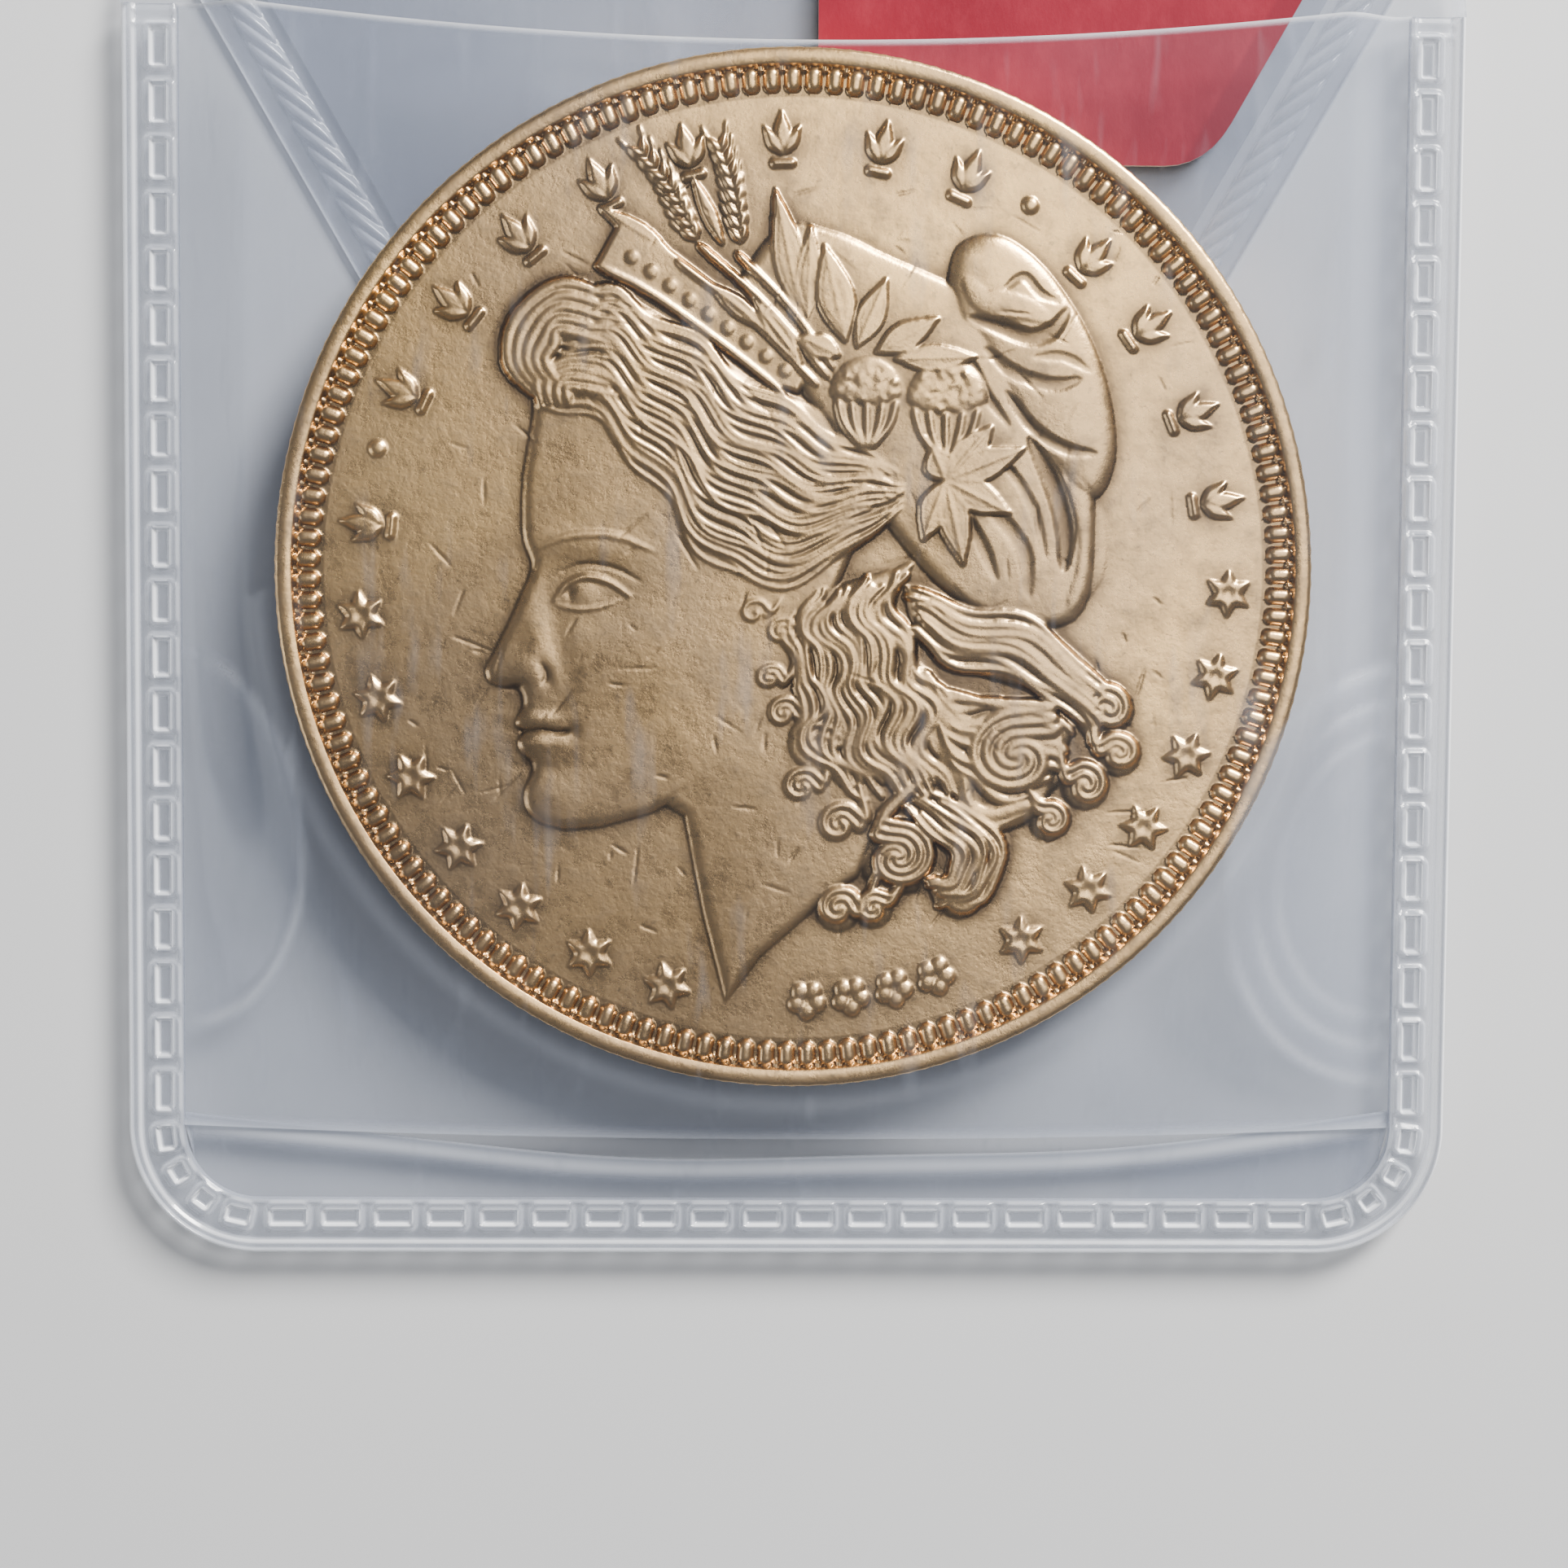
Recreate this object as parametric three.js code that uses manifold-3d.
// A clear vinyl coin pouch with a tapered fold-over flap, holding one large coin and a paper tag.
// The pouch lies on its back: +Z points out of the coin's face, +Y towards the mouth and the fold.
// The flap is folded flat behind the pouch, so its outer ply is what the pouch rests on, at Z = 0.
import * as THREE from "three";
import { mergeVertices } from "three/addons/utils/BufferGeometryUtils.js";
import Module from "manifold-3d";

const wasm = await Module();
wasm.setup();

// Driving dimensions, in millimetres.
const POUCH_WIDTH = 50;
const POUCH_HEIGHT = 50;
const CORNER_RADIUS = 4.9;
const FILM = 0.2;
const LAYER_GAP = 0.05; // air between two plies that only lie on each other
const WELD_WIDTH = 2.1; // from the pouch's outer edge to the inner edge of the stitches
const WELD_THICKNESS = 0.5;

const COIN_RADIUS = 19.05;
const COIN_THICKNESS = 2.4;
const COIN_Y = 0.9;
const COIN_RIM_WIDTH = 0.75;
const COIN_FIELD_DEPTH = 0.25;
const COIN_EDGE_ROUND = 0.12;
const COIN_SEGMENTS = 72;

const TENT_MARGIN = 0.9; // how far the lifted film stays level past the coin's edge
const MOUTH_SIDE_Y = 21.7; // where the front film ends at the side seams
const MOUTH_DIP = 1.6; // how far the mouth edge bows down in the middle

const STITCH_LENGTH = 1.9;
const STITCH_WIDTH = 1.25;
const STITCH_HEIGHT = 0.1;
const STITCH_PITCH = 2.05;
const STITCH_MARGIN = 0.77; // from the outer edge to the stitches
const SIDE_STITCHES = 20;
const BOTTOM_STITCHES = 20;
const CORNER_STITCH_ANGLES = [22, 55]; // degrees round each lower corner, from the side seam

const STRIP_SIDE_Y = -19.6; // top edge of the bottom strip at the seams
const STRIP_DIP = 1.8;
const BACK_END_SIDE_Y = -20.1; // lower edge of the back film at the seams
const BACK_END_DIP = 0.5;

const FLAP_LENGTH = 24;
const FLAP_BASE_HALF = 23.8;
const FLAP_TAPER = 0.577; // half-width lost per millimetre of length, 30 degrees a side
const FLAP_START_GAP = 0.2; // room for the bend between the back film and the flap
const FLAP_WELD_WIDTH = 2.2;
const FLAP_CORNER = 2.3;
const FLAP_WELD_GAP = 0.1;

const TAG_THICKNESS = 0.25;
const TAG_LEFT = 0.8;
const TAG_TOP = 24.6;
const TAG_BOTTOM = 16.1;
const TAG_TOP_RIGHT = 20.1;
const TAG_LOWER_RIGHT = 15.3;
const TAG_CORNER = 1.6;

// Heights of the plies, from the flap's underside upwards.
const FLAP_INNER_Z = FILM + FLAP_WELD_GAP;
const FLAP_TOP_Z = FLAP_INNER_Z + FILM;
const STRIP_Z = FLAP_TOP_Z + 2 * LAYER_GAP;
const WELD_Z = STRIP_Z + FILM;
const BACK_Z = WELD_Z + LAYER_GAP;
const TAG_Z = BACK_Z + FILM + LAYER_GAP;
const COIN_Z = TAG_Z + TAG_THICKNESS + LAYER_GAP;
const FRONT_EDGE_Z = WELD_Z + WELD_THICKNESS - FILM;
const FRONT_TOP_Z = COIN_Z + COIN_THICKNESS + LAYER_GAP;

const HALF_WIDTH = POUCH_WIDTH / 2;
const HALF_HEIGHT = POUCH_HEIGHT / 2;
const INNER_HALF = HALF_WIDTH - WELD_WIDTH;
const INNER_BOTTOM = WELD_WIDTH - HALF_HEIGHT;
const INNER_CORNER = CORNER_RADIUS - WELD_WIDTH;

const CORNER_STEPS = 6;
const SPAN_STEPS = 20;
const ROWS = 18;

// --- outlines -----------------------------------------------------------------------------------

// X positions across the pocket, closer together round the two lower corners.
function pocketColumns() {
  const straight = INNER_HALF - INNER_CORNER;
  const columns = [];
  for (let i = CORNER_STEPS; i > 0; i--) {
    columns.push(-straight - INNER_CORNER * Math.sin((i / CORNER_STEPS) * (Math.PI / 2)));
  }
  for (let i = 0; i <= SPAN_STEPS; i++) columns.push(straight * ((2 * i) / SPAN_STEPS - 1));
  for (let i = 1; i <= CORNER_STEPS; i++) {
    columns.push(straight + INNER_CORNER * Math.sin((i / CORNER_STEPS) * (Math.PI / 2)));
  }
  return columns;
}

// Lower edge of the pocket at a given x, with its rounded corners.
function pocketFloor(x) {
  const past = Math.max(0, Math.abs(x) - (INNER_HALF - INNER_CORNER));
  return INNER_BOTTOM + INNER_CORNER - Math.sqrt(Math.max(0, INNER_CORNER ** 2 - past ** 2));
}

// A shallow bow: full height at the seams, lower by dip in the middle.
function bow(x, half, sideY, dip) {
  return sideY - dip * (1 - (x / half) ** 2);
}

function bowPoints(half, sideY, dip) {
  const points = [];
  for (let i = 0; i <= SPAN_STEPS; i++) {
    const x = half * ((2 * i) / SPAN_STEPS - 1);
    points.push([x, bow(x, half, sideY, dip)]);
  }
  return points;
}

// The pouch's outer U, from the left seam round the bottom to the right seam.
function outerEdge(topY) {
  const points = [[-HALF_WIDTH, topY]];
  for (const side of [-1, 1]) {
    for (let i = 0; i <= 2 * CORNER_STEPS; i++) {
      const turn = (i / (2 * CORNER_STEPS)) * (Math.PI / 2);
      const angle = side < 0 ? turn : Math.PI / 2 - turn;
      points.push([
        side * (HALF_WIDTH - CORNER_RADIUS + CORNER_RADIUS * Math.cos(angle)),
        CORNER_RADIUS - HALF_HEIGHT - CORNER_RADIUS * Math.sin(angle),
      ]);
    }
  }
  points.push([HALF_WIDTH, topY]);
  return points;
}

// The inner edge of the welded border, which the front film meets all the way round.
function pocketEdge(topY) {
  const points = pocketColumns().map((x) => [x, pocketFloor(x)]);
  return [[-INNER_HALF, topY], ...points, [INNER_HALF, topY]];
}

// --- solids -------------------------------------------------------------------------------------

function plate(points, z, thickness) {
  const shape = new THREE.Shape(points.map(([x, y]) => new THREE.Vector2(x, y)));
  const geometry = new THREE.ExtrudeGeometry(shape, { depth: thickness, bevelEnabled: false });
  return geometry.translate(0, 0, z);
}

function toSolid(geometry) {
  const bare = geometry.clone();
  bare.deleteAttribute("normal");
  bare.deleteAttribute("uv");
  const merged = mergeVertices(bare, 1e-4);
  return new wasm.Manifold(
    new wasm.Mesh({
      numProp: 3,
      vertProperties: merged.attributes.position.array,
      triVerts: new Uint32Array(merged.index.array),
    }),
  );
}

function toGeometry(solid) {
  const mesh = solid.getMesh();
  const geometry = new THREE.BufferGeometry();
  geometry.setAttribute("position", new THREE.BufferAttribute(mesh.vertProperties, mesh.numProp));
  geometry.setIndex(new THREE.BufferAttribute(mesh.triVerts, 1));
  geometry.computeVertexNormals();
  return geometry;
}

// A film of even thickness over a grid of underside points: rows of columns of [x, y, z].
function sheetFrom(rows) {
  const height = rows.length;
  const width = rows[0].length;
  const positions = [];
  for (const lift of [0, FILM]) {
    for (const row of rows) for (const [x, y, z] of row) positions.push(x, y, z + lift);
  }
  const under = (r, c) => r * width + c;
  const over = (r, c) => height * width + under(r, c);
  const index = [];
  const quad = (a, b, c, d) => index.push(a, b, c, a, c, d);
  for (let r = 0; r + 1 < height; r++) {
    for (let c = 0; c + 1 < width; c++) {
      quad(over(r, c), over(r, c + 1), over(r + 1, c + 1), over(r + 1, c));
      quad(under(r, c), under(r + 1, c), under(r + 1, c + 1), under(r, c + 1));
    }
  }
  for (let c = 0; c + 1 < width; c++) {
    quad(under(0, c), under(0, c + 1), over(0, c + 1), over(0, c));
    quad(over(height - 1, c), over(height - 1, c + 1), under(height - 1, c + 1), under(height - 1, c));
  }
  for (let r = 0; r + 1 < height; r++) {
    quad(over(r, 0), over(r + 1, 0), under(r + 1, 0), under(r, 0));
    quad(under(r, width - 1), under(r + 1, width - 1), over(r + 1, width - 1), over(r, width - 1));
  }
  const geometry = new THREE.BufferGeometry();
  geometry.setAttribute("position", new THREE.Float32BufferAttribute(positions, 3));
  geometry.setIndex(index);
  geometry.computeVertexNormals();
  return geometry;
}

// --- pouch --------------------------------------------------------------------------------------

// Height of the front film's underside: level over the coin and from there to the mouth, so that
// the coin has its way out, and falling to the welded border on the other three sides.
function tentHeight(x, y) {
  const level = COIN_RADIUS + TENT_MARGIN;
  const beyondMouthway = Math.max(0, Math.abs(x) - level);
  const beyondDisc = Math.max(0, Math.hypot(x, y - COIN_Y) - level);
  const toCoin = y > COIN_Y ? beyondMouthway : beyondDisc;
  const toSide = INNER_HALF - Math.abs(x);
  const toFloor = y - pocketFloor(x);
  const toBorder = Math.max(0, Math.min(toSide, toFloor));
  const share = toCoin === 0 ? 1 : toBorder / (toCoin + toBorder);
  const smooth = share * share * (3 - 2 * share);
  return FRONT_EDGE_Z + (FRONT_TOP_Z - FRONT_EDGE_Z) * smooth;
}

function frontFilm() {
  const rows = [];
  for (let r = 0; r <= ROWS; r++) {
    rows.push(
      pocketColumns().map((x) => {
        const low = pocketFloor(x);
        const high = bow(x, INNER_HALF, MOUTH_SIDE_Y, MOUTH_DIP);
        const y = low + (high - low) * (r / ROWS);
        return [x, y, tentHeight(x, y)];
      }),
    );
  }
  return sheetFrom(rows);
}

// The back film fills the pocket between the seams, and widens above them into the neck that
// carries the fold.
function backFilm() {
  const lower = bowPoints(INNER_HALF, BACK_END_SIDE_Y, BACK_END_DIP);
  const neckY = MOUTH_SIDE_Y + LAYER_GAP;
  const points = [
    ...lower,
    [INNER_HALF, neckY],
    [HALF_WIDTH, neckY],
    [HALF_WIDTH, HALF_HEIGHT],
    [-HALF_WIDTH, HALF_HEIGHT],
    [-HALF_WIDTH, neckY],
    [-INNER_HALF, neckY],
  ];
  return plate(points, BACK_Z, FILM);
}

function bottomStrip() {
  const top = bowPoints(HALF_WIDTH, STRIP_SIDE_Y, STRIP_DIP).reverse().slice(1, -1);
  return plate([...outerEdge(STRIP_SIDE_Y), ...top], STRIP_Z, FILM);
}

function stitch(x, y, degrees) {
  const box = new THREE.BoxGeometry(STITCH_WIDTH, STITCH_LENGTH, 2 * STITCH_HEIGHT);
  box.rotateZ(THREE.MathUtils.degToRad(degrees));
  return toSolid(box.translate(x, y, WELD_Z + WELD_THICKNESS));
}

// The fused border, a U with one row of raised stitches.
function edgeWeld() {
  let solid = toSolid(
    plate([...outerEdge(MOUTH_SIDE_Y), ...pocketEdge(MOUTH_SIDE_Y).reverse()], WELD_Z, WELD_THICKNESS),
  );
  const inset = STITCH_MARGIN + STITCH_WIDTH / 2;
  const firstY = CORNER_RADIUS - HALF_HEIGHT + STITCH_PITCH / 2;
  for (const side of [-1, 1]) {
    for (let i = 0; i < SIDE_STITCHES; i++) {
      solid = solid.add(stitch(side * (HALF_WIDTH - inset), firstY + i * STITCH_PITCH, 0));
    }
    for (const degrees of CORNER_STITCH_ANGLES) {
      const angle = THREE.MathUtils.degToRad(degrees);
      const reach = CORNER_RADIUS - inset;
      const x = side * (HALF_WIDTH - CORNER_RADIUS + reach * Math.cos(angle));
      const y = CORNER_RADIUS - HALF_HEIGHT - reach * Math.sin(angle);
      solid = solid.add(stitch(x, y, -side * degrees));
    }
  }
  for (let i = 0; i < BOTTOM_STITCHES; i++) {
    const x = (i - (BOTTOM_STITCHES - 1) / 2) * STITCH_PITCH;
    solid = solid.add(stitch(x, inset - HALF_HEIGHT, 90));
  }
  return toGeometry(solid);
}

// --- flap ---------------------------------------------------------------------------------------

const FLAP_START_Y = HALF_HEIGHT - FLAP_START_GAP;
const FLAP_END_Y = FLAP_START_Y - FLAP_LENGTH;

function flapHalf(y) {
  return FLAP_BASE_HALF - FLAP_TAPER * (FLAP_START_Y - y);
}

// Half-width of the plies between the two weld bands.
function flapPlyHalf(y) {
  return flapHalf(y) - FLAP_WELD_WIDTH * Math.hypot(1, FLAP_TAPER);
}

function flapPly(z) {
  const start = flapPlyHalf(FLAP_START_Y);
  const end = flapPlyHalf(FLAP_END_Y);
  const points = [
    [-start, FLAP_START_Y],
    [-end, FLAP_END_Y],
    [end, FLAP_END_Y],
    [start, FLAP_START_Y],
  ];
  return plate(points, z, FILM);
}

// One weld band with its cut margin and the rounded corner at the flap's free end.
function flapWeld(side) {
  const corner = new THREE.Vector2(side * flapHalf(FLAP_END_Y), FLAP_END_Y);
  const upY = FLAP_END_Y + FLAP_CORNER / Math.hypot(1, FLAP_TAPER);
  const rounding = new THREE.QuadraticBezierCurve(
    new THREE.Vector2(corner.x - side * FLAP_CORNER, FLAP_END_Y),
    corner,
    new THREE.Vector2(side * flapHalf(upY), upY),
  );
  const points = [
    [side * flapPlyHalf(FLAP_START_Y), FLAP_START_Y],
    [side * flapPlyHalf(FLAP_END_Y), FLAP_END_Y],
    ...rounding.getPoints(CORNER_STEPS).map((p) => [p.x, p.y]),
    [side * flapHalf(FLAP_START_Y), FLAP_START_Y],
  ];
  return plate(points, 0, FLAP_TOP_Z);
}

// --- contents -----------------------------------------------------------------------------------

function coinBody() {
  const half = COIN_THICKNESS / 2;
  const field = half - COIN_FIELD_DEPTH;
  const inner = COIN_RADIUS - COIN_RIM_WIDTH;
  const profile = [
    [0, -field],
    [inner, -field],
    [inner + COIN_FIELD_DEPTH / 2, -half],
    [COIN_RADIUS - COIN_EDGE_ROUND, -half],
    [COIN_RADIUS, -half + COIN_EDGE_ROUND],
    [COIN_RADIUS, half - COIN_EDGE_ROUND],
    [COIN_RADIUS - COIN_EDGE_ROUND, half],
    [inner + COIN_FIELD_DEPTH / 2, half],
    [inner, field],
    [0, field],
  ];
  const outline = profile.map(([r, z]) => new THREE.Vector2(r, z));
  return new THREE.LatheGeometry(outline, COIN_SEGMENTS).rotateX(Math.PI / 2);
}

// The tag's right side is trimmed to a slant, with one rounded corner below it.
function paperTag() {
  const slant = (TAG_TOP_RIGHT - TAG_LOWER_RIGHT) / (TAG_TOP - TAG_BOTTOM);
  const upY = TAG_BOTTOM + TAG_CORNER;
  const rounding = new THREE.QuadraticBezierCurve(
    new THREE.Vector2(TAG_LOWER_RIGHT - TAG_CORNER, TAG_BOTTOM),
    new THREE.Vector2(TAG_LOWER_RIGHT, TAG_BOTTOM),
    new THREE.Vector2(TAG_LOWER_RIGHT + slant * TAG_CORNER, upY),
  );
  const points = [
    [TAG_LEFT, TAG_TOP],
    [TAG_LEFT, TAG_BOTTOM],
    ...rounding.getPoints(CORNER_STEPS).map((p) => [p.x, p.y]),
    [TAG_TOP_RIGHT, TAG_TOP],
  ];
  return plate(points, TAG_Z, TAG_THICKNESS);
}

// --- finishes and assembly ----------------------------------------------------------------------

function clearVinyl() {
  return new THREE.MeshStandardMaterial({
    color: 0xdfe4ee,
    roughness: 0.12,
    metalness: 0,
    transparent: true,
    opacity: 0.3,
  });
}

function tonedSilver() {
  return new THREE.MeshStandardMaterial({ color: 0xb8a184, roughness: 0.38, metalness: 1 });
}

function redCard() {
  return new THREE.MeshStandardMaterial({ color: 0xb2485a, roughness: 0.7, metalness: 0 });
}

function named(name, geometry, material) {
  const mesh = new THREE.Mesh(geometry, material);
  mesh.name = name;
  return mesh;
}

const pouch = new THREE.Group();
pouch.add(
  named("front_film", frontFilm(), clearVinyl()),
  named("back_film", backFilm(), clearVinyl()),
  named("bottom_strip", bottomStrip(), clearVinyl()),
  named("edge_weld", edgeWeld(), clearVinyl()),
);

const flap = new THREE.Group();
flap.add(
  named("flap_outer_ply", flapPly(0), clearVinyl()),
  named("flap_inner_ply", flapPly(FLAP_INNER_Z), clearVinyl()),
  named("flap_weld_left", flapWeld(-1), clearVinyl()),
  named("flap_weld_right", flapWeld(1), clearVinyl()),
);

const coin = named("coin", coinBody(), tonedSilver());
coin.position.set(0, COIN_Y, COIN_Z + COIN_THICKNESS / 2);

const root = new THREE.Group();
root.add(pouch, flap, coin, named("paper_tag", paperTag(), redCard()));

export default root;
